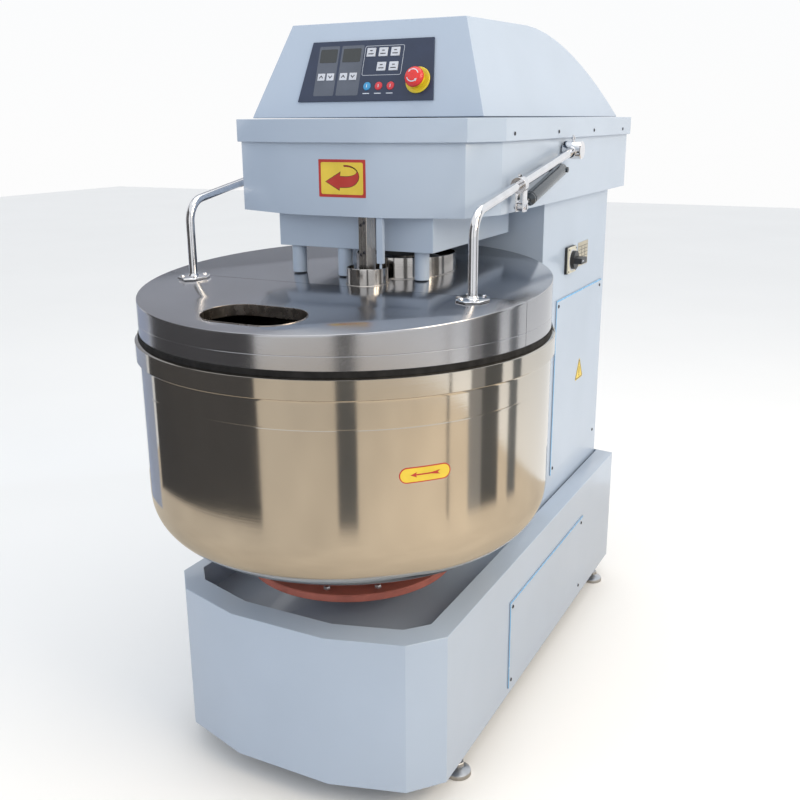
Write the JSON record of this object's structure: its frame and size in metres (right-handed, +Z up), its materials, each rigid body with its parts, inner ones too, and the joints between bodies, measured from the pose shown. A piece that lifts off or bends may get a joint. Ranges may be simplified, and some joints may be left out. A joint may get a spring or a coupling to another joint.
{
  "type": "commercial spiral dough mixer",
  "caption": "Floor-standing spiral dough mixer with a large turning bowl, stainless lid, spiral hook, breaker bar and belt drives inside a faceted casing",
  "frame": {"origin": "ground level, below the centre of the machine's plan", "axes": "+Z up; front of the machine, with the bowl and the control panel, towards -Y; +X to the operator's right"},
  "size_m": [0.8556, 1.4878, 1.5395],
  "materials": {
    "enamel": "glossy pale blue-grey enamel",
    "bowl_steel": "polished stainless steel with faint turning marks",
    "lid_steel": "polished stainless steel sheet, faintly brushed",
    "tool_steel": "satin stainless steel",
    "chrome": "bright chrome tube and forgings",
    "strut_black": "gloss black gas strut",
    "red_primer": "red oxide primer on cast iron",
    "foot_steel": "zinc-plated steel",
    "cast_iron": "machined cast iron",
    "motor_paint": "motor paint",
    "belt_rubber": "black belt rubber",
    "fascia_navy": "dark navy printed film",
    "key_white": "white key caps",
    "key_blue": "blue key cap",
    "key_red": "red key cap",
    "stop_yellow": "yellow emergency-stop collar",
    "stop_red": "red mushroom button",
    "switch_beige": "light beige switch plate",
    "switch_black": "black rotary knob"
  },
  "bodies": {
    "machine": {"base_shell": "enamel", "base_panel": "enamel", "column_shell": "enamel", "column_panel": "enamel", "head_shell": "enamel", "head_rim": "enamel", "head_hood": "enamel", "hub_housing": "enamel", "collar_bracket": "enamel", "post_left_front": "enamel", "post_middle_front": "enamel", "post_right_front": "enamel", "post_rear": "enamel", "lid_rear": "lid_steel", "breaker_bar": "tool_steel", "foot_front_left": "foot_steel", "foot_front_right": "foot_steel", "foot_rear_left": "foot_steel", "foot_rear_right": "foot_steel", "bowl_bearing_housing": "cast_iron", "spiral_bearing_housing": "cast_iron", "bowl_motor": "motor_paint", "spiral_motor": "motor_paint", "bowl_belt": "belt_rubber", "spiral_belt": "belt_rubber", "control_fascia": "fascia_navy", "stop_base": "stop_yellow", "switch_plate": "switch_beige"},
    "bowl": {"bowl": "bowl_steel", "bowl_turntable": "red_primer", "bowl_pulley": "cast_iron"},
    "bowl_motor_shaft": {"bowl_motor_pulley": "cast_iron"},
    "spiral": {"spiral_hook": "tool_steel", "spiral_pulley": "cast_iron"},
    "spiral_motor_shaft": {"spiral_motor_pulley": "cast_iron"},
    "lid": {"lid_front": "lid_steel", "lid_arm_left": "chrome", "lid_arm_right": "chrome", "lid_pivot_shaft": "foot_steel", "strut_clamp_left": "chrome", "strut_clamp_right": "chrome"},
    "strut_left": {"strut_body_left": "strut_black"},
    "strut_rod_left": {"strut_rod_left": "chrome"},
    "strut_right": {"strut_body_right": "strut_black"},
    "strut_rod_right": {"strut_rod_right": "chrome"},
    "switch_knob": {"switch_knob": "switch_black"},
    "stop_button": {"stop_button": "stop_red"},
    "square_key_1": {"square_key_1": "key_white"},
    "square_key_2": {"square_key_2": "key_white"},
    "square_key_3": {"square_key_3": "key_white"},
    "square_key_4": {"square_key_4": "key_white"},
    "square_key_5": {"square_key_5": "key_white"},
    "arrow_key_1": {"arrow_key_1": "key_white"},
    "arrow_key_2": {"arrow_key_2": "key_white"},
    "arrow_key_3": {"arrow_key_3": "key_white"},
    "arrow_key_4": {"arrow_key_4": "key_white"},
    "round_key_1": {"round_key_1": "key_blue"},
    "round_key_2": {"round_key_2": "key_red"},
    "round_key_3": {"round_key_3": "key_red"}
  },
  "joints": [
    {"name": "lid_hinge", "type": "hinge", "parent": "machine", "child": "lid", "pos_m": [0, 0.172, 1.2695], "axis": [-1, 0, 0], "range_deg": [0, 70]},
    {"name": "bowl_spin", "type": "hinge", "parent": "machine", "child": "bowl", "pos_m": [0, -0.3125, 0.486], "axis": [0, 0, 1], "continuous": true},
    {"name": "bowl_motor_spin", "type": "hinge", "parent": "machine", "child": "bowl_motor_shaft", "pos_m": [0, 0.3, 0.15], "axis": [0, 0, 1], "continuous": true},
    {"name": "spiral_spin", "type": "hinge", "parent": "machine", "child": "spiral", "pos_m": [0.076, -0.19, 1], "axis": [0, 0, 1], "continuous": true},
    {"name": "spiral_motor_spin", "type": "hinge", "parent": "machine", "child": "spiral_motor_shaft", "pos_m": [0.076, 0.43, 1.2], "axis": [0, 0, 1], "continuous": true},
    {"name": "switch_turn", "type": "hinge", "parent": "machine", "child": "switch_knob", "pos_m": [0.2826, 0.32, 1.0005], "axis": [1, 0, 0], "range_deg": [0, 90]},
    {"name": "stop_push", "type": "slide", "parent": "machine", "child": "stop_button", "axis": [0, 0.9421, -0.3354], "range_m": [0, 0.005], "stiffness_N_per_m": 800},
    {"name": "strut_left_swing", "type": "hinge", "parent": "machine", "child": "strut_left", "pos_m": [-0.319, 0.0865, 1.2305], "axis": [-1, 0, 0], "range_deg": [-1, 83.7]},
    {"name": "strut_left_extend", "type": "slide", "parent": "strut_left", "child": "strut_rod_left", "axis": [0, -0.9718, -0.2357], "range_m": [-0.001, 0.0877]},
    {"name": "strut_right_swing", "type": "hinge", "parent": "machine", "child": "strut_right", "pos_m": [0.319, 0.0865, 1.2305], "axis": [-1, 0, 0], "range_deg": [-1, 83.7]},
    {"name": "strut_right_extend", "type": "slide", "parent": "strut_right", "child": "strut_rod_right", "axis": [0, -0.9718, -0.2357], "range_m": [-0.001, 0.0877]},
    {"name": "square_key_1_press", "type": "slide", "parent": "machine", "child": "square_key_1", "axis": [0, 0.9421, -0.3354], "range_m": [0, 0.001], "stiffness_N_per_m": 1500},
    {"name": "square_key_2_press", "type": "slide", "parent": "machine", "child": "square_key_2", "axis": [0, 0.9421, -0.3354], "range_m": [0, 0.001], "stiffness_N_per_m": 1500},
    {"name": "square_key_3_press", "type": "slide", "parent": "machine", "child": "square_key_3", "axis": [0, 0.9421, -0.3354], "range_m": [0, 0.001], "stiffness_N_per_m": 1500},
    {"name": "square_key_4_press", "type": "slide", "parent": "machine", "child": "square_key_4", "axis": [0, 0.9421, -0.3354], "range_m": [0, 0.001], "stiffness_N_per_m": 1500},
    {"name": "square_key_5_press", "type": "slide", "parent": "machine", "child": "square_key_5", "axis": [0, 0.9421, -0.3354], "range_m": [0, 0.001], "stiffness_N_per_m": 1500},
    {"name": "arrow_key_1_press", "type": "slide", "parent": "machine", "child": "arrow_key_1", "axis": [0, 0.9421, -0.3354], "range_m": [0, 0.001], "stiffness_N_per_m": 1500},
    {"name": "arrow_key_2_press", "type": "slide", "parent": "machine", "child": "arrow_key_2", "axis": [0, 0.9421, -0.3354], "range_m": [0, 0.001], "stiffness_N_per_m": 1500},
    {"name": "arrow_key_3_press", "type": "slide", "parent": "machine", "child": "arrow_key_3", "axis": [0, 0.9421, -0.3354], "range_m": [0, 0.001], "stiffness_N_per_m": 1500},
    {"name": "arrow_key_4_press", "type": "slide", "parent": "machine", "child": "arrow_key_4", "axis": [0, 0.9421, -0.3354], "range_m": [0, 0.001], "stiffness_N_per_m": 1500},
    {"name": "round_key_1_press", "type": "slide", "parent": "machine", "child": "round_key_1", "axis": [0, 0.9421, -0.3354], "range_m": [0, 0.001], "stiffness_N_per_m": 1500},
    {"name": "round_key_2_press", "type": "slide", "parent": "machine", "child": "round_key_2", "axis": [0, 0.9421, -0.3354], "range_m": [0, 0.001], "stiffness_N_per_m": 1500},
    {"name": "round_key_3_press", "type": "slide", "parent": "machine", "child": "round_key_3", "axis": [0, 0.9421, -0.3354], "range_m": [0, 0.001], "stiffness_N_per_m": 1500}
  ],
  "couplings": [
    {"joint": "bowl_motor_spin", "follows": "bowl_spin", "ratio": 3.5},
    {"joint": "spiral_motor_spin", "follows": "spiral_spin", "ratio": 2.2222},
    {"joint": "strut_left_swing", "follows": "lid_hinge", "ratio": 1.1808},
    {"joint": "strut_left_extend", "follows": "lid_hinge", "m_per_rad": 0.07017},
    {"joint": "strut_right_swing", "follows": "lid_hinge", "ratio": 1.1808},
    {"joint": "strut_right_extend", "follows": "lid_hinge", "m_per_rad": 0.07017}
  ]
}
